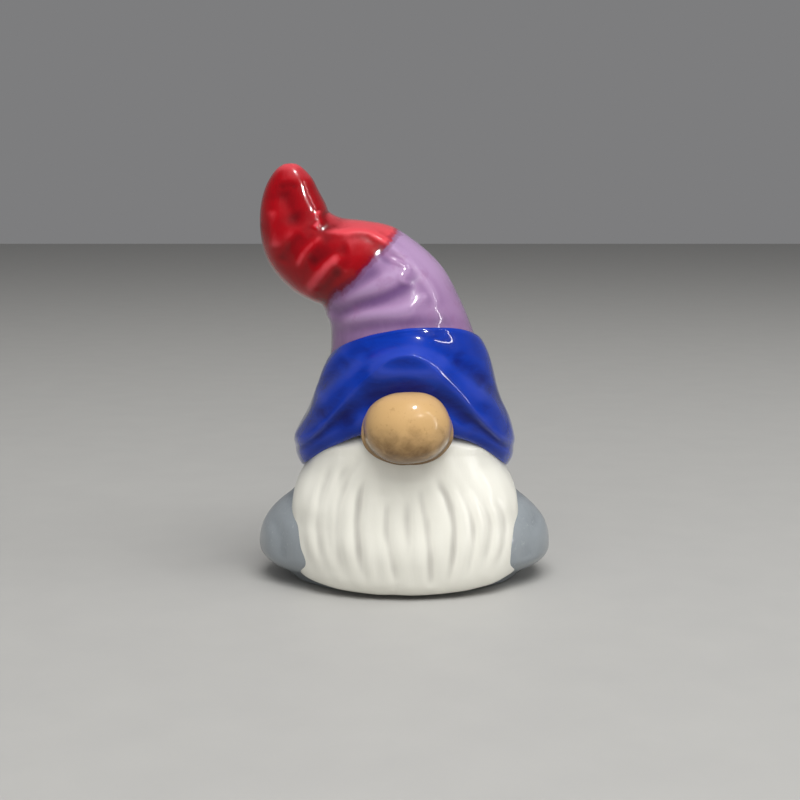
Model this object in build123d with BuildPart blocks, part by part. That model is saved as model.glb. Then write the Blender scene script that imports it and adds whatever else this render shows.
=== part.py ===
from build123d import *
import os
from math import cos, radians, sin, tan

# Garden gnome in glazed earthenware: a squat hollow body on a recessed foot slab, a beard and a nose on
# its front, and a bent hollow hat in three lengths, each length luted over the collar of the one below.
# Millimetres. +Z is up, the face looks along -Y, the hat bends towards -X.
# The origin is the middle of the foot, on the surface that the gnome stands on.

os.makedirs("parts", exist_ok=True)

# Clay
wall = 4.0             # thickness of the hollow pieces
collar_wall = 3.0      # thickness of a collar inside the piece that it carries
slip_gap = 0.15        # film of slip between two curved faces
lap = 6.0              # how far a collar reaches into the next piece

# Body
body_width = 108.0
body_depth = 72.0
body_height = 52.0     # floor to the shoulder that the hat rests on
shoulder = 3.0         # width of that shoulder
foot_height = 8.0      # solid clay round the foot slab
foot_rim = 4.5         # width of the rim that touches the floor
slab_thickness = 4.0
slab_recess = 1.0      # from the floor up to the slab
slab_lip = 3.0         # how far the slab reaches under the clay round it
vent_radius = 3.0

# Hat brim
brim_width = 81.6
brim_depth = 72.0
brim_drop = 11.0       # how far the skirt hangs below the shoulder
brim_height = 42.5     # skirt edge to the seam with the crown, on the axis
brim_bulge = 7.2       # how far the front stands out over the nose
hem_step = 1.0         # how far the brim stands proud of the crown
skirt_clearance = 0.8  # between the skirt and the neck inside it
arch_angle = 25.0      # rise of the skirt edge towards the face
seam_rise = 0.36       # rise of the crown seam towards the face, per unit of depth
seam_roll = 0.12       # rise of the crown seam towards +X, per unit of width

# Hat crown and tip
hat_radius = 27.4      # at the crown seam
hat_rise = 68.5        # crown seam to the very top
hat_reach = 41.6       # how far the tip lies towards -X
tip_seam_lean = 46.0   # lean of the seam between crown and tip, in degrees

# Beard
beard_width = 86.0
beard_thickness = 7.0
beard_axis = 13.0      # depth of the line that the beard's curve is drawn round, in front of the body's
beard_lift = 1.5       # from the floor up to the beard
beard_back = 6.0       # depth at which the beard ends at the sides

# Nose
nose_width = 31.8
nose_height = 26.0
nose_depth = 28.0
nose_stand = 16.0      # from the flat that it is set on to its front
nose_rise = 9.0        # of its middle above the shoulder
nose_bed = 5.0         # clay between the neck and the flat that the nose is set on
tenon_radius = 5.0
tenon_length = 4.0
tenon_rise = 2.0       # of the tenon above the middle of the nose

# Shares of height, and of the swell from the neck to the widest line, up the body
body_profile = (
    (-0.08, 0.10),
    (0.00, 0.50),
    (0.08, 0.83),
    (0.25, 1.00),
    (0.42, 0.89),
    (0.55, 0.61),
    (0.62, 0.37),
    (0.70, 0.16),
    (0.79, 0.04),
    (1.00, 0.00),
    (1.15, 0.00),
)
# Shares of height, of the swell out from the crown, and of the bulge over the nose, up the brim
brim_profile = (
    (-0.12, 0.52, 0.00),
    (0.00, 0.76, 0.00),
    (0.12, 0.93, 0.00),
    (0.24, 1.00, 0.10),
    (0.40, 0.88, 0.35),
    (0.59, 0.58, 0.70),
    (0.78, 0.33, 1.00),
    (0.96, 0.16, 0.95),
    (1.15, 0.04, 0.30),
    (1.34, 0.00, 0.00),
)
# Shares of reach, of rise and of radius, and the lean in degrees, along the bent hat
hat_profile = (
    (0.00, -0.20, 1.02, 0.0),
    (0.00, 0.03, 0.98, 0.0),
    (0.05, 0.16, 0.93, 2.0),
    (0.11, 0.25, 0.885, 9.0),
    (0.21, 0.35, 0.81, 26.0),
    (0.38, 0.44, 0.73, tip_seam_lean),
    (0.64, 0.50, 0.66, 47.0),
    (0.80, 0.54, 0.58, 47.0),
    (0.91, 0.60, 0.525, 42.0),
    (0.955, 0.66, 0.50, 31.0),
    (0.98, 0.74, 0.45, 19.0),
    (1.00, 0.82, 0.385, 10.0),
    (1.00, 0.874, 0.315, 4.0),
)
tip_seam = 5           # which of those sections the seam between crown and tip lies on
# Shares of height, of width, of the body's swell behind it and of thickness, up the beard
beard_profile = (
    (0.00, 0.88, 0.55, 0.57),
    (0.09, 0.96, 0.88, 0.62),
    (0.28, 1.00, 1.00, 0.72),
    (0.50, 0.99, 0.85, 0.68),
    (0.70, 0.93, 0.30, 0.90),
    (0.90, 0.83, 0.02, 0.98),
    (1.15, 0.70, 0.00, 0.95),
)

edge_z = body_height - brim_drop
seam_z = edge_z + brim_height
nose_z = body_height + nose_rise
hem_radius = hat_radius + hem_step


def brim_section(swell, bulge):
    """Half width, front depth and back depth of the brim."""
    half_width = hem_radius + (brim_width / 2 - hem_radius) * swell
    half_depth = hem_radius + (brim_depth / 2 - hem_radius) * swell
    return half_width, half_depth + brim_bulge * bulge, half_depth


skirt_half_width, skirt_half_depth, _ = brim_section(brim_profile[1][1], 0)
neck_half_width = skirt_half_width - wall - skirt_clearance
neck_half_depth = skirt_half_depth - wall - skirt_clearance
spigot_half_width = neck_half_width - shoulder
spigot_half_depth = neck_half_depth - shoulder
nose_seat = neck_half_depth + nose_bed

arch_plane = Plane(origin=(0, 0, edge_z), z_dir=(0, tan(radians(arch_angle)), 1))
seam_plane = Plane(origin=(0, 0, seam_z), z_dir=(-seam_roll, seam_rise, 1))


def body_section(swell):
    """Half width and half depth of the body."""
    half_width = neck_half_width + (body_width / 2 - neck_half_width) * swell
    half_depth = neck_half_depth + (body_depth / 2 - neck_half_depth) * swell
    return half_width, half_depth


def body_form(growth, bottom, top):
    """The body's outside between two heights, larger all round by growth."""
    with BuildPart() as form:
        for height, swell in body_profile:
            half_width, half_depth = body_section(swell)
            with BuildSketch(Plane.XY.offset(body_height * height)):
                Ellipse(half_width + growth, half_depth + growth)
        loft()
        split(bisect_by=Plane.XY.offset(bottom), keep=Keep.TOP)
        split(bisect_by=Plane.XY.offset(top), keep=Keep.BOTTOM)
    return form.part


def brim_form(growth, top):
    """The bell of the brim from the skirt's edge up to a plane, larger all round by growth."""
    with BuildPart() as form:
        for height, swell, bulge in brim_profile:
            half_width, front, back = brim_section(swell, bulge)
            middle = Plane.XY.offset(edge_z + brim_height * height).move(Location((0, (back - front) / 2, 0)))
            with BuildSketch(middle):
                Ellipse(half_width + growth, (front + back) / 2 + growth)
        loft()
        split(bisect_by=Plane.XY.offset(edge_z), keep=Keep.TOP)
        split(bisect_by=top, keep=Keep.BOTTOM)
    return form.part


def hat_plane(reach, rise, lean):
    """The plane of one section across the bent hat."""
    tilt = radians(lean)
    middle = (-hat_reach * reach, 0, seam_z + hat_rise * rise)
    return Plane(origin=middle, x_dir=(cos(tilt), 0, sin(tilt)), z_dir=(-sin(tilt), 0, cos(tilt)))


def hat_form(growth):
    """The bent cone of the crown and tip with its round end, larger all round by growth."""
    with BuildPart() as form:
        for reach, rise, share, lean in hat_profile:
            with BuildSketch(hat_plane(reach, rise, lean)):
                Circle(hat_radius * share + growth)
        loft(ruled=True)
        reach, rise, share, lean = hat_profile[-1]
        with Locations(hat_plane(reach, rise, lean)):
            Sphere(hat_radius * share + growth)
    return form.part


def collar_form(seam):
    """A collar that stands on a seam plane and fits inside the hat above it."""
    with BuildPart() as form:
        add(hat_form(-wall - slip_gap))
        split(bisect_by=seam, keep=Keep.TOP)
        split(bisect_by=seam.offset(lap), keep=Keep.BOTTOM)
        add(hat_form(-wall - slip_gap - collar_wall), mode=Mode.SUBTRACT)
    return form.part


def nose_form(growth):
    """The bun of the nose in front of its flat, with its tenon, larger all round by growth."""
    middle = (0, nose_depth / 2 - nose_seat - nose_stand, nose_z)
    with BuildPart() as form:
        with Locations(middle):
            Sphere(1)
        scale(by=(nose_width / 2 + growth, nose_depth / 2 + growth, nose_height / 2 + growth), about=middle)
        split(bisect_by=Plane.XZ.offset(nose_seat), keep=Keep.TOP)
        with BuildSketch(Plane(origin=(0, -nose_seat, nose_z + tenon_rise), z_dir=(0, 1, 0))):
            Circle(tenon_radius + growth)
        extrude(amount=tenon_length + growth)
    return form.part


tip_seam_plane = hat_plane(*hat_profile[tip_seam][:2], hat_profile[tip_seam][3])
body_outside = body_form(0, 0, body_height)
body_hollow = body_form(-wall, foot_height, body_height - wall)
body_seat = body_form(slip_gap, 0, body_height)
brim_outside = brim_form(0, seam_plane)
skirt_hollow = brim_form(-wall, Plane.XY.offset(body_height))
hat_outside = hat_form(0)
hat_inside = hat_form(-wall)
crown_hollow = split(hat_inside, bisect_by=tip_seam_plane.offset(-lap), keep=Keep.BOTTOM)
brim_collar = collar_form(seam_plane)
crown_collar = collar_form(tip_seam_plane)
nose_solid = nose_form(0)
nose_socket = nose_form(slip_gap)
collar_inside = hat_form(-wall - slip_gap - collar_wall)

# The outlines of the foot, from the floor up
foot_half_width, foot_half_depth = body_section(body_profile[1][1])
slab_half_width = foot_half_width - foot_rim
slab_half_depth = foot_half_depth - foot_rim
slab_top = slab_recess + slab_thickness

# Body: a hollow squat form, open at the neck, with a spigot up into the brim and a rebate for the foot slab
with BuildPart() as body_shell:
    add(body_outside)
    add(body_hollow, mode=Mode.SUBTRACT)
    with BuildSketch(Plane.XY.offset(body_height)):
        Ellipse(spigot_half_width, spigot_half_depth)
    extrude(amount=lap)
    with BuildSketch(Plane.XY.offset(body_height - wall)):
        Ellipse(spigot_half_width - collar_wall, spigot_half_depth - collar_wall)
    extrude(amount=wall + lap, mode=Mode.SUBTRACT)
    with BuildSketch():
        Ellipse(slab_half_width, slab_half_depth)
    extrude(amount=slab_top, mode=Mode.SUBTRACT)
    with BuildSketch():
        Ellipse(slab_half_width - slab_lip, slab_half_depth - slab_lip)
    extrude(amount=foot_height, mode=Mode.SUBTRACT)
body_shell.part.label = "body_shell"

# Foot slab: closes the body from below, clear of the floor, with a vent for the air inside
with BuildPart() as base_slab:
    with BuildSketch(Plane.XY.offset(slab_recess)):
        Ellipse(slab_half_width - slip_gap, slab_half_depth - slip_gap)
        Circle(vent_radius, mode=Mode.SUBTRACT)
    extrude(amount=slab_thickness)
base_slab.part.label = "base_slab"

# Beard: a thick piece laid on the front of the body, its top edge under the arch of the brim
with BuildPart() as beard:
    for height, width_share, swell, thickness_share in beard_profile:
        level = beard_lift + (body_height - beard_lift) * height
        front = body_section(swell)[1] + beard_thickness * thickness_share
        with BuildSketch(Plane.XY.offset(level).move(Location((0, -beard_axis, 0)))):
            Ellipse(beard_width / 2 * width_share, front - beard_axis)
    loft()
    split(bisect_by=arch_plane, keep=Keep.BOTTOM)
    split(bisect_by=Plane.XZ.offset(beard_back), keep=Keep.TOP)
    add(body_seat, mode=Mode.SUBTRACT)
    with BuildSketch(Plane.XY.offset(body_height)):
        Ellipse(neck_half_width + slip_gap, neck_half_depth + slip_gap)
    extrude(amount=brim_height, mode=Mode.SUBTRACT)
    add(nose_socket, mode=Mode.SUBTRACT)
beard.part.label = "beard"

# Nose: a solid bun on a flat, held by its tenon
with BuildPart() as nose:
    add(nose_solid)
nose.part.label = "nose"

# Brim: a bell on the body's shoulder, with a skirt hung over the neck and a collar up into the crown.
# Where a wide body swells out under the skirt, the skirt is pared back to clear it.
bore_top = seam_z + hat_rise * hat_profile[0][1]
bore_radius = hat_radius * hat_profile[0][2] - wall - slip_gap - collar_wall
with BuildPart() as hat_brim:
    add(brim_outside)
    split(bisect_by=arch_plane, keep=Keep.TOP)
    add(brim_collar)
    add(skirt_hollow, mode=Mode.SUBTRACT)
    add(body_seat, mode=Mode.SUBTRACT)
    with BuildSketch(Plane.XY.offset(body_height)):
        Ellipse(spigot_half_width + slip_gap, spigot_half_depth + slip_gap)
    extrude(amount=lap + slip_gap, mode=Mode.SUBTRACT)
    with BuildSketch(Plane.XY.offset(body_height + lap + slip_gap)):
        Ellipse(spigot_half_width + slip_gap, spigot_half_depth + slip_gap)
    with BuildSketch(Plane.XY.offset(bore_top)):
        Circle(bore_radius)
    loft(mode=Mode.SUBTRACT)
    add(collar_inside, mode=Mode.SUBTRACT)
    add(nose_socket, mode=Mode.SUBTRACT)
hat_brim.part.label = "hat_brim"

# Crown: the bent tube of the hat, with a collar of its own for the tip
with BuildPart() as hat_crown:
    add(hat_outside)
    split(bisect_by=seam_plane, keep=Keep.TOP)
    split(bisect_by=tip_seam_plane, keep=Keep.BOTTOM)
    add(crown_hollow, mode=Mode.SUBTRACT)
    add(crown_collar)
    add(collar_inside, mode=Mode.SUBTRACT)
hat_crown.part.label = "hat_crown"

# Tip: the closed end of the hat, turned up
with BuildPart() as hat_tip:
    add(hat_outside)
    split(bisect_by=tip_seam_plane, keep=Keep.TOP)
    add(hat_inside, mode=Mode.SUBTRACT)
hat_tip.part.label = "hat_tip"

for piece in (body_shell, base_slab, beard, nose, hat_brim, hat_crown, hat_tip):
    export_step(piece.part, f"parts/{piece.part.label}.step")
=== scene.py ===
from math import radians

import bpy
import numpy as np
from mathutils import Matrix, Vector


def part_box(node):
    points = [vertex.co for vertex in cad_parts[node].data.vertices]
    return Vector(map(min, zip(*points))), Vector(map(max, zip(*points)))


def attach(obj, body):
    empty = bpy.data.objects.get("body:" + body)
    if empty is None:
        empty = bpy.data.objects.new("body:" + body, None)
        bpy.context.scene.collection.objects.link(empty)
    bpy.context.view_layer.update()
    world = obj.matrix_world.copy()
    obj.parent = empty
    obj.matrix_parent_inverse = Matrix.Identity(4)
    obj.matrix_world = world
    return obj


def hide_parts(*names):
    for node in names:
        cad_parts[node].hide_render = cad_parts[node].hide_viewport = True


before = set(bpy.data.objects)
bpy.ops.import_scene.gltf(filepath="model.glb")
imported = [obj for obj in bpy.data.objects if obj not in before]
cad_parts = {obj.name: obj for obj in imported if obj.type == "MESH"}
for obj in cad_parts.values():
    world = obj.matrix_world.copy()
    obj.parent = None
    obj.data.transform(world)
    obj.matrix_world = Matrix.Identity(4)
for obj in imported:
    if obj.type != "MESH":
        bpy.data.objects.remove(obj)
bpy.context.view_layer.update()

# Garden gnome in hand-painted glazed earthenware: a squat body on a recessed foot slab, a beard and a nose
# on its front, and a bent hat in three lengths. Metres. The face looks along -Y and the hat bends to -X.
MM = 0.001
bpy.ops.object.select_all(action="DESELECT")


# Floor and light
# A pale surface and an even pale room. Three large soft lamps light the glaze without showing in it, and
# three small ones show in it only, as the lines of light along the folds.


class Paint:
    """A node socket of a material, written with ordinary arithmetic."""

    def __init__(self, tree, socket):
        self.tree, self.socket = tree, socket

    def node(self, kind, settings=None, inputs=None, output=0):
        made = self.tree.nodes.new("ShaderNode" + kind)
        for key, value in (settings or {}).items():
            setattr(made, key, value)
        for key, value in (inputs or {}).items():
            if isinstance(value, Paint):
                self.tree.links.new(value.socket, made.inputs[key])
            else:
                made.inputs[key].default_value = value
        return Paint(self.tree, made.outputs[output])

    def math(self, operation, a, b=0.0):
        return self.node("Math", {"operation": operation}, {0: a, 1: b})

    def __add__(self, other):
        return self.math("ADD", self, other)

    def __radd__(self, other):
        return self.math("ADD", other, self)

    def __sub__(self, other):
        return self.math("SUBTRACT", self, other)

    def __rsub__(self, other):
        return self.math("SUBTRACT", other, self)

    def __mul__(self, other):
        return self.math("MULTIPLY", self, other)

    def __rmul__(self, other):
        return self.math("MULTIPLY", other, self)

    def __truediv__(self, other):
        return self.math("DIVIDE", self, other)

    def __rtruediv__(self, other):
        return self.math("DIVIDE", other, self)

    def between(self, low, high):
        """0 below low, 1 above high, smooth between."""
        return self.node(
            "MapRange", {"interpolation_type": "SMOOTHSTEP"},
            {"Value": self, "From Min": low, "From Max": high},
        )

    def blend(self, first, second):
        """The first colour where this is 0 and the second where it is 1."""
        return self.node("Mix", {"data_type": "RGBA"}, {0: self, 6: first, 7: second}, 2)

    def stretched(self, x, y, z):
        return self.node("VectorMath", {"operation": "MULTIPLY"}, {0: self, 1: (x, y, z)})

    def noise(self, scale, detail=3.0, rough=0.55, warp=0.0):
        """Soft random marks that many times a metre, from 0 to 1."""
        return self.node(
            "TexNoise", None,
            {"Vector": self, "Scale": scale, "Detail": detail, "Roughness": rough, "Distortion": warp},
        )

    def specks(self, scale, size):
        """Small round specks, 1 in the middle of each."""
        cell = self.node("TexVoronoi", None, {"Vector": self, "Scale": scale})
        return 1.0 - cell.between(0.0, size)

    def axis(self, index):
        return self.node("SeparateXYZ", None, {0: self}, index)

    def link(self, shader, name):
        self.tree.links.new(self.socket, shader.inputs[name])

    def relief(self, shader, depth):
        """Raises this as fine relief of that depth in mm."""
        bump = self.node("Bump", None, {"Strength": 1.0, "Distance": depth * MM, "Height": self})
        bump.link(shader, "Normal")


def srgb(r, g, b):
    """A colour given as 0 to 255 on screen."""
    c = np.array((r, g, b)) / 255
    return (*np.where(c < 0.04045, c / 12.92, ((c + 0.055) / 1.055) ** 2.4), 1.0)


def new_glaze(name, roughness, coat, coat_roughness):
    """A fresh material, its shader and the coordinates of its patterns."""
    material = bpy.data.materials.new(name)
    material.use_nodes = True
    tree = material.node_tree
    shader = tree.nodes["Principled BSDF"]
    shader.inputs["Roughness"].default_value = roughness
    shader.inputs["Specular IOR Level"].default_value = 0.5 - 0.45 * coat
    shader.inputs["Coat IOR"].default_value = 1.3
    shader.inputs["Coat Weight"].default_value = coat
    shader.inputs["Coat Roughness"].default_value = coat_roughness
    where = Paint(tree, tree.nodes.new("ShaderNodeTexCoord").outputs["Object"])
    return material, shader, where


bpy.ops.mesh.primitive_plane_add(size=6, location=(0, 0, -0.2 * MM))
floor = bpy.context.object
floor.name = floor.data.name = "floor"
floor_paper, floor_shader, floor_where = new_glaze("floor_paper", 0.6, 0.0, 0.5)
floor_where.noise(40, 4).blend(srgb(170, 169, 166), srgb(177, 176, 172)).link(floor_shader, "Base Color")
floor.data.materials.append(floor_paper)

world = bpy.data.worlds.new("room")
bpy.context.scene.world = world
world.use_nodes = True
world.node_tree.nodes["Background"].inputs["Color"].default_value = srgb(238, 238, 240)
world.node_tree.nodes["Background"].inputs["Strength"].default_value = 0.24


lit_point = np.array((0, 0, 0.08))


def lamp(name, direction, distance, width, height, power, mirrored):
    """A lamp aimed at the middle of the gnome, seen only as a reflection or felt only as light."""
    way = np.array(direction, float)
    way /= np.linalg.norm(way)
    bpy.ops.object.light_add(type="AREA", location=tuple(lit_point + way * distance))
    made = bpy.context.object
    made.name = made.data.name = name
    made.data.shape = "RECTANGLE"
    made.data.size, made.data.size_y = width, height
    made.data.energy = power
    made.rotation_euler = Vector(way).to_track_quat("Z", "Y").to_euler()
    made.visible_glossy, made.visible_diffuse = mirrored, not mirrored


lamp("lamp_overhead", (0.23, -0.10, 0.97), 1.1, 0.10, 0.03, 6.8, True)
lamp("lamp_front", (0.42, -0.55, 0.72), 1.1, 0.08, 0.03, 5.8, True)
lamp("lamp_strip", (0.85, -0.22, 0.42), 1.1, 0.03, 1.1, 4.0, True)
lamp("soft_above", (0.12, -0.42, 0.90), 1.7, 1.3, 1.3, 33.0, False)
lamp("soft_front", (-0.25, -1.0, 0.42), 2.2, 2.4, 2.4, 14.0, False)
lamp("soft_side", (0.85, -0.30, 0.42), 1.6, 0.9, 0.9, 5.0, False)

# Camera, a little above the gnome and level across
bpy.ops.object.camera_add(location=(-0.0017, -0.540, 0.1447), rotation=(radians(90 - 8.37), 0, 0))
camera = bpy.context.object
camera.name = "camera"
camera.data.lens, camera.data.sensor_width = 66.6, 36
bpy.context.scene.camera = camera
bpy.context.scene.view_settings.view_transform = "Standard"


# Body
# The squat base of the figure, widest low down, with a foot rim that touches the floor round a recessed
# slab. Slip-cast, its surface smoothed by hand and brushed with a grey glaze that breaks pale.


def curve(table, share):
    """Rows between those of a table, on a smooth line through them; share runs from 0 to 1."""
    table = np.array(table, float)
    last = len(table) - 1
    place = np.clip(np.asarray(share, float), 0, 1) * last
    at = np.minimum(place.astype(int), last - 1)
    f = (place - at)[:, None]
    before, start = table[np.maximum(at - 1, 0)], table[at]
    end, after = table[at + 1], table[np.minimum(at + 2, last)]
    bend = 3 * (start - end) + after - before
    return start + 0.5 * f * (end - before + f * (2 * before - 5 * start + 4 * end - after + f * bend))


def points(piece):
    co = np.empty(len(piece.data.vertices) * 3)
    piece.data.vertices.foreach_get("co", co)
    return co.reshape(-1, 3)


def normals(piece):
    no = np.empty(len(piece.data.vertices) * 3)
    piece.data.vertices.foreach_get("normal", no)
    return no.reshape(-1, 3)


def shape(piece, co):
    piece.data.vertices.foreach_set("co", np.ascontiguousarray(co, dtype=np.float32).ravel())
    piece.data.update()


def hoops(name, sides, rows, place):
    """A tube pulled up from a ring, hoop by hoop; place gives each point of it from its share of the way
    up and its turn from the face, and ends that come to a point are closed."""
    bpy.ops.mesh.primitive_circle_add(vertices=sides, radius=1, fill_type="NOTHING")
    piece = bpy.context.object
    piece.name = piece.data.name = name
    bpy.ops.object.mode_set(mode="EDIT")
    bpy.ops.mesh.select_all(action="SELECT")
    for _ in range(rows):
        bpy.ops.mesh.extrude_region_move(TRANSFORM_OT_translate={"value": (0, 0, 1)})
    bpy.ops.mesh.select_all(action="SELECT")
    bpy.ops.mesh.subdivide(number_cuts=3)
    bpy.ops.object.mode_set(mode="OBJECT")
    drum = points(piece)
    shape(piece, place(drum[:, 2] / rows, np.arctan2(drum[:, 0], -drum[:, 1])) * MM)
    bpy.ops.object.mode_set(mode="EDIT")
    bpy.ops.mesh.select_all(action="SELECT")
    bpy.ops.mesh.remove_doubles(threshold=0.01 * MM)
    bpy.ops.mesh.normals_make_consistent(inside=False)
    bpy.ops.object.mode_set(mode="OBJECT")
    bpy.ops.object.shade_smooth()
    return piece


def stroke_weight(co, path, width):
    """How strongly a tool of that width, drawn along a path of (x, z), marks each point."""
    path = np.array(path, float)
    line = curve(path, np.linspace(0, 1, 6 * len(path))) if len(path) > 2 else path
    best = np.full(len(co), np.inf)
    along = np.zeros(len(co))
    for i, (a, b) in enumerate(zip(line[:-1], line[1:])):
        step = b - a
        reach = (co[:, [0, 2]] / MM - a) @ step / max(step @ step, 1e-9)
        reach = np.clip(reach, 0, 1)
        gap = np.linalg.norm(co[:, [0, 2]] / MM - a - reach[:, None] * step, axis=1)
        near = gap < best
        best[near] = gap[near]
        along[near] = (i + reach[near]) / (len(line) - 1)
    fade = np.clip(np.minimum(along, 1 - along) / 0.22, 0, 1)
    long = np.linalg.norm(line[-1] - line[0]) > 3 * width
    return np.exp(-((best / width) ** 2)) * ((0.2 + 0.8 * fade * fade * (3 - 2 * fade)) if long else 1.0)


def work(piece, strokes):
    """Presses strokes into the soft clay: (side, depth, width, path), in mm. Side is -1 for the front and
    1 for the back, and a negative depth raises a ridge."""
    co, out = points(piece), normals(piece)
    push = np.zeros(len(co))
    for side, depth, width, path in strokes:
        facing = np.clip(out[:, 1] * side * 2.5 + 0.35, 0, 1)
        push += depth * facing * stroke_weight(co, path, width)
    shape(piece, co - out * push[:, None] * MM)


def unevenness(piece, depth, length, seed):
    """Slow hand-made unevenness, as deep and as long as given in mm."""
    co, out = points(piece), normals(piece)
    draw = np.random.default_rng(seed)
    push = np.zeros(len(co))
    for _ in range(9):
        way = draw.normal(size=3)
        way *= 2 * np.pi / (length * draw.uniform(0.7, 1.5) * np.linalg.norm(way))
        push += np.sin(co / MM @ way + draw.uniform(0, 2 * np.pi))
    shape(piece, co + out * (push * depth / 3)[:, None] * MM)


def read_hollowness(piece, spread, depth):
    """Marks how far each point lies below or above the surface round it; 0.5 is level, 1 is deep in a fold
    and 0 on a sharp ridge. The coloured glazes read it as where glaze pools and where it runs thin; the
    white glaze reads it as where painted shade greys the grooves."""
    co, out = points(piece), normals(piece)
    edges = np.empty(len(piece.data.edges) * 2, np.int32)
    piece.data.edges.foreach_get("vertices", edges)
    a, b = edges.reshape(-1, 2).T
    share = 1 / np.maximum(np.bincount(np.r_[a, b], minlength=len(co)), 1)
    level = co.copy()
    for _ in range(spread):
        for axis in range(3):
            v = level[:, axis]
            near = np.bincount(a, v[b], len(co)) + np.bincount(b, v[a], len(co))
            level[:, axis] = 0.3 * v + 0.7 * near * share
    sunk = np.einsum("ij,ij->i", level - co, out) / (depth * MM)
    mark = piece.data.attributes.new("hollowness", "FLOAT", "POINT")
    mark.data.foreach_set("value", np.clip(0.5 + 0.5 * sunk, 0, 1).astype(np.float32))


def keep_in_box(piece, low, high):
    """Presses a piece back to the width and depth between two corners, and up to the floor."""
    co = points(piece)
    co[:, 2] = np.maximum(co[:, 2], 0)
    co[:, 0] = np.clip(co[:, 0], low.x, high.x)
    co[:, 1] = np.clip(co[:, 1], low.y, high.y)
    shape(piece, co)


def hollowness_of(where):
    return where.node("Attribute", {"attribute_name": "hollowness"}, None, 2)


def finish_piece(piece, material, slot, *nodes):
    piece.data.materials.clear()
    piece.data.materials.append(material)
    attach(piece, "root")
    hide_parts(*nodes)


body_low, body_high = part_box("body_shell")
body_half = body_high.x / MM
body_depth = body_high.y / MM
slab_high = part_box("base_slab")[1]
slab_half, slab_depth, slab_top = slab_high.x / MM, slab_high.y / MM, slab_high.z / MM
body_rows = (
    # half width, half depth, height
    (0, 0, slab_top + 0.4),
    (24, 17, slab_top + 0.4),
    (slab_half + 0.1, slab_depth + 0.1, slab_top + 0.4),
    (slab_half + 0.3, slab_depth + 0.3, 3),
    (slab_half + 0.6, slab_depth + 0.6, 0.7),
    (slab_half + 1.4, slab_depth + 1.1, 0.05),
    (slab_half + 2.6, slab_depth + 1.8, 0.4),
    (45.6, 31.0, 3.6),
    (50.8, 33.6, 6.4),
    (body_half - 0.7, body_depth - 0.4, 9.2),
    (body_half - 0.1, body_depth - 0.1, 12.8),
    (53.1, 35.7, 18),
    (50.7, 34.8, 23),
    (46.6, 33.4, 27.7),
    (41.4, 31.8, 32),
    (37.6, 30.7, 36.5),
    (35, 30, 41),
    (33.4, 29.5, 46.5),
    (32, 28.8, 51.5),
    (20, 18, 53),
    (0, 0, 53),
)


def body_point(share, turn):
    half, depth, height = curve(body_rows, share).T
    return np.stack((half * np.sin(turn), -depth * np.cos(turn), height), axis=1)


body = hoops("body_glazed", 56, 34, body_point)
work(body, (
    (-1, 0.5, 3.0, ((-49, 25), (-45, 17), (-44, 8))),
    (-1, 0.4, 3.0, ((49, 26), (46, 18), (45, 9))),
    (1, 0.5, 5.0, ((-22, 38), (-31, 26), (-36, 12))),
    (1, 0.6, 6.0, ((3, 37), (-1, 25), (2, 12))),
    (1, 0.5, 5.0, ((24, 38), (31, 27), (35, 13))),
))
unevenness(body, 0.14, 17, 3)
keep_in_box(body, body_low, body_high)
read_hollowness(body, 40, 0.35)

grey, grey_shader, where = new_glaze("grey_glaze", 0.3, 0.8, 0.09)
hollowness = hollowness_of(where)
brushed = where.stretched(1, 1, 0.35).noise(420, 5, 0.65, 0.6)
cloud = where.noise(75, 4, 0.6)
tone = (hollowness * 0.6 + cloud * 0.55 + brushed * 0.45 - 0.3).between(0.12, 0.85)
grey_colour = tone.blend(srgb(143, 149, 153), srgb(96, 104, 110))
flecks = (brushed * 0.6 + where.noise(900, 2) * 0.4).between(0.56, 0.68) * 0.45
grey_colour = flecks.blend(grey_colour, srgb(172, 178, 180))
grey_colour.link(grey_shader, "Base Color")
(brushed * 0.5 + where.noise(160, 3) * 0.5).relief(grey_shader, 0.10)
finish_piece(body, grey, "grey_glaze", "body_shell")

# Foot slab
# The CAD slab itself: unglazed biscuit clay, wiped with a sponge, with a vent for the air inside.
clay, clay_shader, where = new_glaze("bare_clay", 0.85, 0.0, 0.5)
grain = where.noise(700, 5, 0.7)
clay_tone = where.noise(60, 4) * 0.6 + grain * 0.4
clay_tone.between(0.3, 0.7).blend(srgb(214, 205, 188), srgb(190, 176, 154)).link(clay_shader, "Base Color")
(grain + where.stretched(1, 4, 1).noise(260, 2) * 0.6).relief(clay_shader, 0.12)
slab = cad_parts["base_slab"]
slab.data.materials.clear()
slab.data.materials.append(clay)


# Beard
# A thick curved piece laid on the front of the body and tucked under the brim, its hair drawn with a round
# tool in long soft grooves. White satin glaze, greyed in the grooves and hollows by painted shade.
beard_rows = (
    # half width, depth of the front, depth of the middle line, height, height gained at the corners
    (0, 16, 16, 3.0, 3.4),
    (28, 30, 14, 2.6, 4.2),
    (37.2, 35.4, 12, 1.4, 4.2),
    (40.0, 38.0, 12, 2.0, 4.2),
    (41.0, 39.8, 12, 4.6, 3.6),
    (41.5, 40.9, 12, 9, 2.4),
    (41.8, 41.4, 12, 14, 1.2),
    (41.7, 41.0, 12, 19, 0.8),
    (41.2, 39.8, 12, 24.5, 0),
    (40.8, 38.4, 12, 30, 0),
    (40.2, 37.2, 10, 34.5, 0),
    (38.6, 36.2, 8, 39.0, 0),
    (36.6, 35.4, 6, 44.5, -2.4),
    (34.6, 34.4, 6, 50, -6),
    (32.6, 33.2, 6, 55, -9.5),
    (26, 28, 0, 57.5, -9),
    (0, 16, 0, 57, 0),
)


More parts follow.
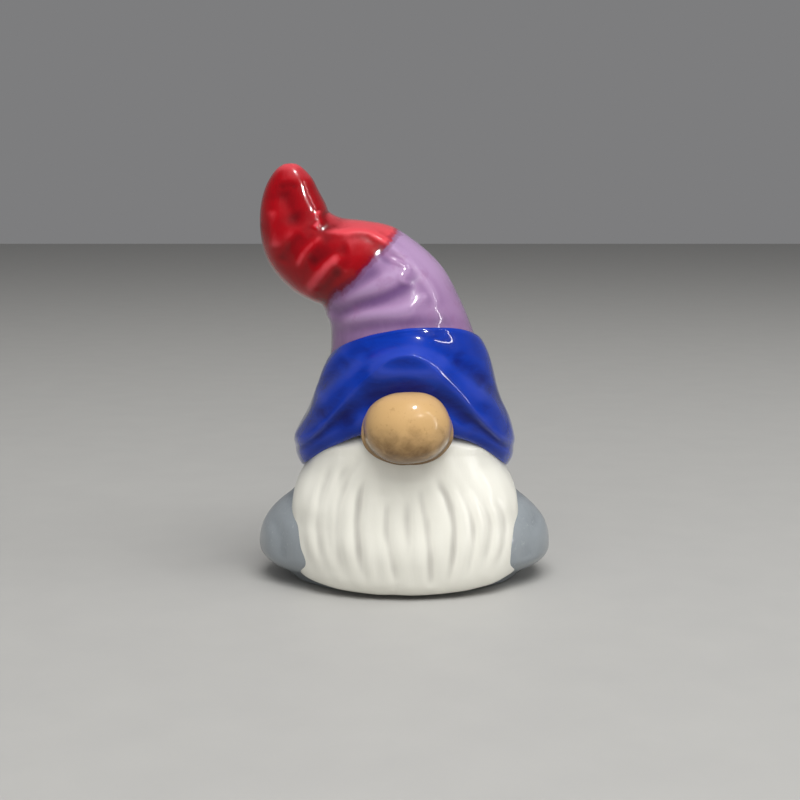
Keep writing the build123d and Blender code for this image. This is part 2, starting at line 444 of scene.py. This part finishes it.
def beard_point(share, turn):
    half, front, middle, height, corner = curve(beard_rows, share).T
    ahead = np.cos(turn)
    hair = np.sin(15 * turn + 1.5 * np.sin(9 * share)) + 0.7 * np.sin(31 * turn + 2 * np.sin(7 * share + 1))
    front = front + 0.2 * hair * np.clip(3 - 3 * share, 0, 1) * np.clip(share * 8 - 1, 0, 1)
    depth = np.where(ahead > 0, middle + (front - middle) * np.abs(ahead) ** 0.92, middle - 3 * np.abs(ahead))
    x = half * np.sin(turn) + np.clip(1 - height / 22, 0, 1)
    return np.stack((x, -depth, height + corner * np.abs(x / 40) ** 3), axis=1)


beard = hoops("beard_glazed", 64, 40, beard_point)
work(beard, (
    (-1, 0.9, 2.3, ((-14, 50), (-18.5, 45), (-22, 38), (-24, 31), (-24.5, 23), (-23, 14), (-20, 6))),
    (-1, 0.85, 2.2, ((-22, 49), (-27, 43), (-30, 36), (-31, 29), (-31, 22), (-29, 13), (-26, 6))),
    (-1, 0.7, 1.6, ((-18, 49), (-23, 43), (-26.5, 35), (-27.5, 27), (-27, 19), (-25, 10))),
    (-1, 0.5, 1.8, ((-32, 42), (-35, 34), (-37, 25), (-35.5, 16), (-32, 8))),
    (-1, 0.8, 2.1, ((-12, 46), (-15.5, 38), (-17, 29), (-16.5, 20), (-15, 11), (-13, 4))),
    (-1, 0.4, 2.0, ((-9, 41), (-11, 34), (-11.5, 25), (-10, 15), (-8.5, 5))),
    (-1, 0.75, 2.1, ((-6, 36), (-6.5, 27), (-5, 17), (-3, 6))),
    (-1, 0.35, 1.9, ((2, 38), (1, 28), (2, 17), (3, 5))),
    (-1, 0.75, 2.1, ((4, 42), (6, 33), (8, 22), (9, 10), (9, 4))),
    (-1, 0.75, 1.9, ((10, 43), (14.5, 36), (17, 27), (17, 17), (15, 6))),
    (-1, 0.8, 1.9, ((16, 43), (21, 35), (24, 26), (23.5, 17), (21, 7))),
    (-1, 0.65, 1.8, ((22, 41), (27, 33), (30, 25), (29, 17), (26, 8))),
    (-1, 0.65, 1.6, ((31, 36), (35.5, 27), (35.5, 18), (32, 9))),
    (-1, -0.4, 2.6, ((-15, 38), (-6, 41), (1, 41.5), (7, 41), (12, 39))),
    (-1, -0.5, 1.1, ((40.0, 36), (40.9, 27), (41.3, 18), (40.6, 10))),
))
unevenness(beard, 0.10, 12, 7)
read_hollowness(beard, 36, 0.5)

white, white_shader, where = new_glaze("white_glaze", 0.34, 0.55, 0.16)
hollowness = hollowness_of(where)
hair = where.stretched(1, 1, 0.12).noise(520, 4, 0.6)
# Greyer where the surface lies sunk, in the grooves and hollows: painted shade.
painted_groove_shade = (hollowness + where.noise(55, 3) * 0.25 + hair * 0.12 - 0.22).between(0.38, 1.1)
white_colour = painted_groove_shade.blend(srgb(230, 228, 217), srgb(182, 179, 170))
white_colour.link(white_shader, "Base Color")
(hair * 0.8 + where.noise(260, 3) * 0.5).relief(white_shader, 0.09)
finish_piece(beard, white, "white_glaze", "beard")


# Hat brim
# A thick bell of clay, folded over into a crest that sweeps up from both sides and over the nose, tucked
# under below it and ending in a wavy lower edge. The crown is luted in behind the hem. Ultramarine glaze.
brim_low, brim_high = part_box("hat_brim")
brim_half = brim_high.x / MM
brim_rows = (
    # half width, side height, front depth, front height, back depth, back height, power of the front's arch
    (0, 58, 0, 66, 0, 58, 1),
    (29, 54, 26, 63, 26, 54, 1.2),
    (34.5, 47, 30.5, 61, 30.5, 47, 1.6),
    (36.4, 42.2, 32.4, 59.8, 32, 42.4, 1.6),
    (37.6, 41.1, 34, 60, 33.5, 41.1, 1.6),
    (38.9, 42.6, 35.6, 61.6, 34.8, 42.7, 1.7),
    (40.1, 45.6, 36.8, 66, 35.7, 46, 2.2),
    (brim_half - 0.4, 48.6, 36.6, 74, 35.6, 49.3, 2.9),
    (brim_half, 51.5, 39.2, 82.6, 35.7, 52, 3.6),
    (brim_half - 0.7, 54.5, 39.0, 85.4, 35.3, 54.5, 3.4),
    (38.4, 58.6, 36.2, 87.6, 34, 58, 2.7),
    (35.6, 64.2, 32.8, 89.6, 31.5, 63, 2.0),
    (33.2, 70.8, 30.4, 91.4, 29.8, 68, 1.5),
    (30.9, 77.6, 29.2, 92.8, 28.9, 71.5, 1.1),
    (28.7, 82.6, 28.6, 93.9, 28.5, 73.6, 1),
    (27.4, 83.4, 27.3, 94.2, 27.3, 74.2, 1),
    (24, 83, 24, 93, 24, 73, 1),
    (0, 80, 0, 88, 0, 74, 1),
)


def brim_point(share, turn):
    half, side, front, arch, back, drop, power = curve(brim_rows, share).T
    ahead = np.cos(turn)
    near = np.abs(ahead)
    depth = np.where(ahead > 0, -front, back) * near
    lift = np.where(ahead > 0, (arch - side) * near ** np.maximum(power, 0.8), (drop - side) * near ** 1.4)
    x = half * np.sin(turn)
    roll = 0.12 * np.clip((share - 0.5) / 0.3, 0, 1) * x
    return np.stack((x, depth, side + lift + roll), axis=1)


brim = hoops("brim_glazed", 72, 44, brim_point)
work(brim, (
    (-1, -0.4, 2.0, ((-13, 87), (-18.5, 80), (-25.5, 72.5), (-33, 64))),
    (-1, -0.4, 2.0, ((10, 86), (17.5, 79.5), (24.5, 72.5), (32, 65.5))),
    (-1, 0.55, 3.4, ((-10, 82), (-18, 74.5), (-25.5, 67.5), (-32, 62))),
    (-1, 0.5, 3.4, ((11, 82.5), (17.5, 75.5), (23.5, 69.5), (31, 64.5))),
    (-1, 0.35, 3.0, ((-20, 84), (-26, 77), (-31, 70))),
    (-1, 0.35, 3.0, ((17, 86), (23, 79), (28, 73))),
    (-1, 0.5, 2.6, ((-38.5, 49), (-33, 51.5), (-27, 55.5), (-21, 60.5), (-16, 66))),
    (-1, 0.5, 2.6, ((38, 48.5), (33, 51.5), (27, 56), (22, 61), (16, 67))),
    (1, 0.7, 4.2, ((-16, 72), (-24, 62), (-31, 50))),
    (1, -0.5, 4.0, ((-4, 72), (-12, 60), (-17, 47))),
    (1, 0.6, 4.6, ((6, 71), (4, 60), (-3, 48))),
    (1, -0.5, 4.0, ((12, 74), (17, 62), (19, 48))),
    (1, 0.7, 4.2, ((20, 76), (27, 65), (31, 52))),
))
unevenness(brim, 0.16, 14, 11)
keep_in_box(brim, brim_low, brim_high)
read_hollowness(brim, 36, 0.4)

blue, blue_shader, where = new_glaze("blue_glaze", 0.26, 1.0, 0.035)
hollowness = hollowness_of(where)
brushed = where.stretched(0.5, 0.5, 1.5).noise(230, 4, 0.6, 0.8)
thick = (hollowness * 1.1 + brushed * 0.55 + where.noise(60, 3) * 0.3 - 0.48).between(0.0, 0.95)
blue_colour = thick.blend(srgb(5, 54, 168), srgb(0, 10, 92))
thin = (0.5 - hollowness + (brushed - 0.5) * 0.35).between(0.10, 0.42)
blue_colour = (thin * 0.5).blend(blue_colour, srgb(54, 70, 168))
blue_colour.link(blue_shader, "Base Color")
bubbles = where.specks(420, 0.16)
(brushed * 0.6 + where.noise(190, 3) * 0.6 - bubbles * 0.5).relief(blue_shader, 0.10)
finish_piece(brim, blue, "blue_glaze", "hat_brim")


# Nose
# A solid bun pressed on above the beard, with a thin skirt of clay smoothed out round its lower side where
# it was luted. Tan glaze, mottled, and browner below as painted shade.
nose_low, nose_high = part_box("nose")
nose_half = (nose_high - nose_low) / 2 / MM
nose_middle = np.array((0.9, nose_low.y / MM + 14.0, (nose_low.z + nose_high.z) / 2 / MM))
bpy.ops.mesh.primitive_uv_sphere_add(segments=144, ring_count=96, radius=1)
nose = bpy.context.object
nose.name = nose.data.name = "nose_glazed"
ball = points(nose)
round_out = 1 + 0.035 * (2 * ball[:, 0] * ball[:, 2]) ** 2
lower = np.clip(0.55 - ball[:, 2] * 1.4, 0, 1)
skirt = 0.125 * lower * np.exp(-(((ball[:, 1] - 0.16) / 0.11) ** 2))
swell = (round_out + skirt)[:, None] * np.array((1, 0, 1)) + np.array((0, 1, 0))
reach = np.array((nose_half.x - 0.9, 13.85, nose_half.z - 0.6))
shape(nose, (ball * swell * reach + nose_middle) * MM)
bpy.ops.object.shade_smooth()
unevenness(nose, 0.16, 13, 5)
read_hollowness(nose, 40, 0.3)

tan_mat, tan_shader, where = new_glaze("tan_glaze", 0.32, 0.9, 0.04)
hollowness = hollowness_of(where)
mottle = where.noise(210, 4, 0.6, 0.5)
height = where.axis(2) / MM
# Browner towards the bottom by height: painted shade under the nose, over the real mottle and the glaze lying
# thicker in hollows.
browner = ((height * -1.0 + 62) / 20 + mottle * 0.9 + hollowness * 0.5 - 0.35).between(0.0, 0.9)
tan_colour = browner.blend(srgb(198, 161, 110), srgb(118, 88, 52))
freckle = where.noise(620, 3).between(0.58, 0.74) * 0.2
tan_colour = freckle.blend(tan_colour, srgb(120, 78, 40))
tan_colour.link(tan_shader, "Base Color")
(mottle * 0.5 + where.noise(170, 2) * 0.5).relief(tan_shader, 0.10)
finish_piece(nose, tan_mat, "tan_glaze", "nose")


# Hat crown and tip
# One bent, hollow cone, pulled over to the side so that its wall buckled into folds in the crook, then
# turned up and pinched to a round end. Mauve below the seam and crimson above it, brushed over the edge,
# and both lightened on the surfaces facing up by a painted highlight.
tip_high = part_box("hat_tip")[1]
seam_height = 83.5
hat_rise = tip_high.z / MM - seam_height
hat_reach = 41.6
hat_radius = 27.4
hat_rows = (
    # share of reach, of rise and of radius, and the lean in degrees
    (0, -0.16, 0, 0),
    (0, -0.16, 0.85, 0),
    (0, -0.07, 1.0, 0),
    (0, 0.03, 0.985, 0),
    (0.03, 0.13, 0.945, -1),
    (0.10, 0.235, 0.895, 8),
    (0.205, 0.347, 0.82, 23.5),
    (0.37, 0.438, 0.725, 42),
    (0.49, 0.471, 0.705, 46),
    (0.645, 0.503, 0.66, 46.5),
    (0.80, 0.54, 0.575, 47),
    (0.905, 0.593, 0.53, 43),
    (0.95, 0.65, 0.507, 34),
    (0.98, 0.736, 0.453, 21),
    (1.0, 0.82, 0.387, 12.5),
    (1.005, 0.896, 0.307, 8.6),
    (1.0, 0.957, 0.19, 3),
    (0.995, 0.986, 0.09, 1),
    (0.995, 0.992, 0, 0),
)


def hat_point(share, turn):
    reach, rise, radius, lean = curve(hat_rows, share).T
    lean = np.radians(lean)
    radius = radius * hat_radius
    x = -hat_reach * reach + radius * np.sin(turn) * np.cos(lean)
    z = seam_height + hat_rise * rise + radius * np.sin(turn) * np.sin(lean)
    return np.stack((x, -radius * np.cos(turn), z), axis=1)


hat = hoops("crown_glazed", 64, 54, hat_point)
work(hat, (
    (-1, 1.0, 3.0, ((-27, 97.5), (-24, 98.5), (-16.5, 102), (-9, 104.5), (-1, 108), (4, 112))),
    (-1, -0.5, 2.4, ((-25, 95), (-12.5, 98.5), (-3, 99.6), (4, 101.5))),
    (-1, 0.5, 2.6, ((-22, 92.5), (-9, 95.2), (3, 96), (12, 96), (19, 95))),
    (-1, -0.35, 2.4, ((-26, 101), (-18, 105), (-10, 108.5), (-3, 112))),
    (-1, 0.4, 2.6, ((-26, 102), (-21, 106.5), (-14, 111.5), (-8, 114.5))),
    (-1, 0.3, 1.5, ((-9, 121), (-7, 118), (-4, 117))),
    (-1, -0.42, 0.9, ((-7, 119.5), (-4.5, 117.5), (-3, 117), (0.5, 115), (-1, 112), (-0.5, 110.5), (4, 109))),
    (-1, -0.35, 1.0, ((8, 106), (4, 103), (1, 100.5))),
    (-1, -0.55, 1.4, ((-31, 127), (-24, 127), (-14.5, 127.5), (-9, 125), (1, 118), (6.5, 111.5),
                      (10.5, 104.5), (10, 101.5))),
    (-1, 0.6, 2.6, ((-33, 102), (-29, 106), (-25.5, 110.5), (-22, 115))),
    (-1, -0.4, 2.2, ((-35, 106), (-31.5, 111), (-27, 116), (-22, 120))),
    (-1, 0.45, 2.6, ((-34, 116), (-27, 120), (-19, 122))),
    (-1, -0.5, 1.8, ((-28, 125.5), (-32.5, 123), (-36, 119), (-38.5, 114))),
    (-1, 0.4, 2.4, ((-44, 116), (-41, 122), (-36, 127))),
    (-1, 2.4, 5.4, ((-42.5, 140.5), (-39.5, 134))),
    (-1, -0.4, 2.2, ((-47.5, 136), (-47, 128), (-46, 121))),
    (-1, 0.3, 1.4, ((-46, 143.5), (-43, 144.6), (-40, 144.6), (-37.5, 143))),
    (-1, -0.6, 1.6, ((-32, 128), (-30.8, 131), (-31.5, 135))),
    (1, 1.1, 3.0, ((-27, 98), (-20, 98), (-10, 101), (0, 106), (6, 112))),
    (1, 0.7, 2.6, ((-26, 92), (-14, 90), (-2, 91), (10, 95))),
    (1, 0.8, 2.6, ((-27, 102), (-20, 106), (-12, 112), (-5, 118))),
    (1, -0.5, 2.4, ((-24, 96), (-12, 96), (0, 99), (9, 104))),
    (1, 0.8, 2.6, ((-34, 106), (-29, 111), (-22, 117))),
    (1, 0.6, 2.8, ((-46, 122), (-38, 124), (-31, 128))),
    (1, 1.0, 4.0, ((-44, 135), (-37, 133))),
))
unevenness(hat, 0.08, 19, 17)
read_hollowness(hat, 36, 0.42)
true_normals = hat.data.attributes.new("true_normal", "FLOAT_VECTOR", "POINT")
true_normals.data.foreach_set("vector", normals(hat).astype(np.float32).ravel())

# The one form is cut at the seam between crown and tip, and each length is closed there inside.
tip_seam_lean, tip_seam_reach, tip_seam_rise = radians(46), 0.375, 0.44
seam_at = np.array((-tip_seam_reach * hat_reach, 0, seam_height + tip_seam_rise * hat_rise)) * MM
seam_way = np.array((-np.sin(tip_seam_lean), 0, np.cos(tip_seam_lean)))
above = (points(hat) - seam_at) @ seam_way > 0
faces_above = [all(above[v] for v in face.vertices) for face in hat.data.polygons]
bpy.ops.object.select_all(action="DESELECT")
hat.select_set(True)
bpy.context.view_layer.objects.active = hat
bpy.ops.object.mode_set(mode="EDIT")
bpy.ops.mesh.select_mode(type="FACE")
bpy.ops.mesh.select_all(action="DESELECT")
bpy.ops.object.mode_set(mode="OBJECT")
hat.data.polygons.foreach_set("select", faces_above)
bpy.ops.object.mode_set(mode="EDIT")
bpy.ops.mesh.separate(type="SELECTED")
bpy.ops.object.mode_set(mode="OBJECT")
crown = hat
tip = next(o for o in bpy.context.selected_objects if o != hat)
tip.name = tip.data.name = "tip_glazed"
for length in (crown, tip):
    bpy.ops.object.select_all(action="DESELECT")
    length.select_set(True)
    bpy.context.view_layer.objects.active = length
    bpy.ops.object.mode_set(mode="EDIT")
    bpy.ops.mesh.select_mode(type="VERT")
    bpy.ops.mesh.select_all(action="DESELECT")
    bpy.ops.mesh.select_non_manifold()
    bpy.ops.mesh.extrude_region_move()
    bpy.ops.transform.resize(value=(0.9, 0.9, 0.9))
    bpy.ops.mesh.edge_face_add()
    bpy.ops.object.mode_set(mode="OBJECT")
    kept = np.empty(len(length.data.vertices) * 3, np.float32)
    length.data.attributes["true_normal"].data.foreach_get("vector", kept)
    length.data.normals_split_custom_set_from_vertices(kept.reshape(-1, 3).tolist())


def hat_glaze(name):
    """Crimson above the seam, mauve below it, the red run over the edge in places, and both lighter on
    surfaces facing up as a painted highlight.
    """
    material, shader, where = new_glaze(name, 0.24, 0.8, 0.035)
    hollowness = hollowness_of(where)
    x, z = where.axis(0) / MM, where.axis(2) / MM
    seam_x, _, seam_z = (float(c) for c in seam_at / MM)
    slope_x, _, slope_z = (float(c) for c in seam_way)
    past = (x - seam_x) * slope_x + (z - seam_z) * slope_z
    ragged = (where.noise(110, 3, 0.6) - 0.5) * 7.0 + (where.noise(420, 3, 0.6) - 0.5) * 2.0
    red = (past + ragged).between(-0.7, 0.7)
    edge = 1.0 - ((past + ragged) * (past + ragged)).between(0.0, 5.0)
    brushed = where.stretched(1, 1, 0.6).noise(240, 4, 0.6, 0.7)
    cloud = where.noise(70, 3, 0.6)
    deep = (hollowness * 1.15 + brushed * 0.25 + cloud * 0.2 - 0.37).between(0.0, 0.95)
    crimson = deep.blend(srgb(164, 0, 15), srgb(70, 0, 6))
    # Lighter on every surface that faces up: a painted highlight, added to the thin glaze on ridges and mixed
    # into both crimson and mauve.
    painted_top_highlight = where.node("NewGeometry", None, None, 1).axis(2).between(0.35, 1.0)
    thin = (0.42 - hollowness + painted_top_highlight * 0.42 + (brushed - 0.5) * 0.22 + (cloud - 0.5) * 0.16).between(0.06, 0.42)
    crimson = (thin * 0.6).blend(crimson, srgb(232, 88, 98))
    mauve = deep.blend(srgb(156, 122, 162), srgb(104, 74, 118))
    mauve = (thin * 0.5).blend(mauve, srgb(176, 148, 184))
    mauve = (where.noise(130, 3, 0.6).between(0.52, 0.72) * 0.35).blend(mauve, srgb(140, 92, 132))
    colour = red.blend(mauve, crimson)
    colour = (edge * 0.45).blend(colour, srgb(96, 8, 52))
    colour.link(shader, "Base Color")
    (brushed * 0.55 + where.noise(200, 3) * 0.6 - where.specks(420, 0.14) * 0.4).relief(shader, 0.10)
    return material


finish_piece(crown, hat_glaze("purple_glaze"), "purple_glaze", "hat_crown")
finish_piece(tip, hat_glaze("red_glaze"), "red_glaze", "hat_tip")

bpy.ops.object.select_all(action="DESELECT")
